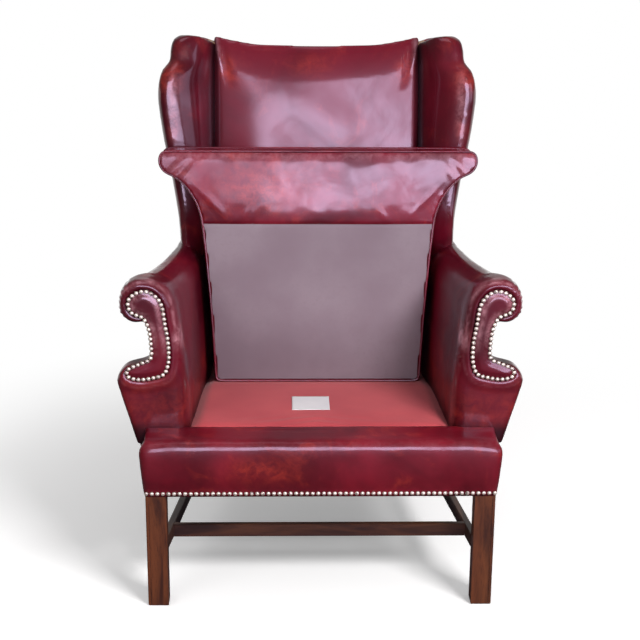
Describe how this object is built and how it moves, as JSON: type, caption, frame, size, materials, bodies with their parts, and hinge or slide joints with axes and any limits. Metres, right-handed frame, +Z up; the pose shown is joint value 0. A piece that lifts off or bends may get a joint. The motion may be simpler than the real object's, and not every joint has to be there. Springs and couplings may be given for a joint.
{
  "type": "wingback chair",
  "caption": "Leather wing chair on square mahogany legs with stretchers: scrolled arms with brass nails and a loose T-shaped cushion stood up against the wings.",
  "frame": {"origin": "on the floor under the middle of the chair's footprint box", "axes": "+Z up, -Y out of the front of the seat, +X to the right of a viewer who faces the chair"},
  "size_m": [0.867, 0.7796, 1.1485],
  "materials": {
    "oxblood_leather": "glazed, hand-rubbed and worn at the edges",
    "mahogany": "waxed",
    "beech": "sawn, unfinished",
    "padding": "hair and wadding",
    "webbing": "plain woven jute",
    "deck_cloth": "matt upholstery cloth",
    "dust_cloth": "thin black cloth",
    "cushion_cloth": "fine woven lining",
    "nail_brass": "antiqued"
  },
  "bodies": {
    "chair": {"arm_facing_left": "oxblood_leather", "arm_facing_right": "oxblood_leather", "arm_nails_left": "nail_brass", "arm_nails_right": "nail_brass", "arm_post_left": "beech", "arm_post_right": "beech", "arm_rail_left": "beech", "arm_rail_right": "beech", "back_leg_left": "mahogany", "back_leg_right": "mahogany", "back_seat_rail": "beech", "back_stretcher": "mahogany", "back_webbing": "webbing", "corner_blocks": "beech", "crest_rail": "beech", "cross_stretcher": "mahogany", "deck_cover": "deck_cloth", "dust_cover": "dust_cloth", "front_border": "oxblood_leather", "front_leg_left": "mahogany", "front_leg_right": "mahogany", "front_rail_nails": "nail_brass", "front_seat_rail": "beech", "inside_arm_left": "oxblood_leather", "inside_arm_right": "oxblood_leather", "inside_back": "oxblood_leather", "inside_wing_left": "oxblood_leather", "inside_wing_right": "oxblood_leather", "outside_arm_left": "oxblood_leather", "outside_arm_right": "oxblood_leather", "outside_back": "oxblood_leather", "outside_wing_left": "oxblood_leather", "outside_wing_right": "oxblood_leather", "seat_hessian": "webbing", "seat_stuffing": "padding", "seat_webbing": "webbing", "side_border_left": "oxblood_leather", "side_border_right": "oxblood_leather", "side_seat_rail_left": "beech", "side_seat_rail_right": "beech", "side_stretcher_left": "mahogany", "side_stretcher_right": "mahogany", "stay_rail": "beech", "wing_post_left": "beech", "wing_post_right": "beech", "wing_rail_left": "beech", "wing_rail_right": "beech"},
    "cushion": {"cushion_base_band": "oxblood_leather", "cushion_base_cloth": "cushion_cloth", "cushion_base_welt": "oxblood_leather", "cushion_boxing": "oxblood_leather", "cushion_filling": "padding", "cushion_top_cover": "oxblood_leather", "cushion_top_welt": "oxblood_leather"}
  },
  "joints": [
    {"name": "cushion_lift", "type": "slide", "parent": "chair", "child": "cushion", "axis": [0, -0.9397, 0.342], "range_m": [0, 0.65]}
  ]
}
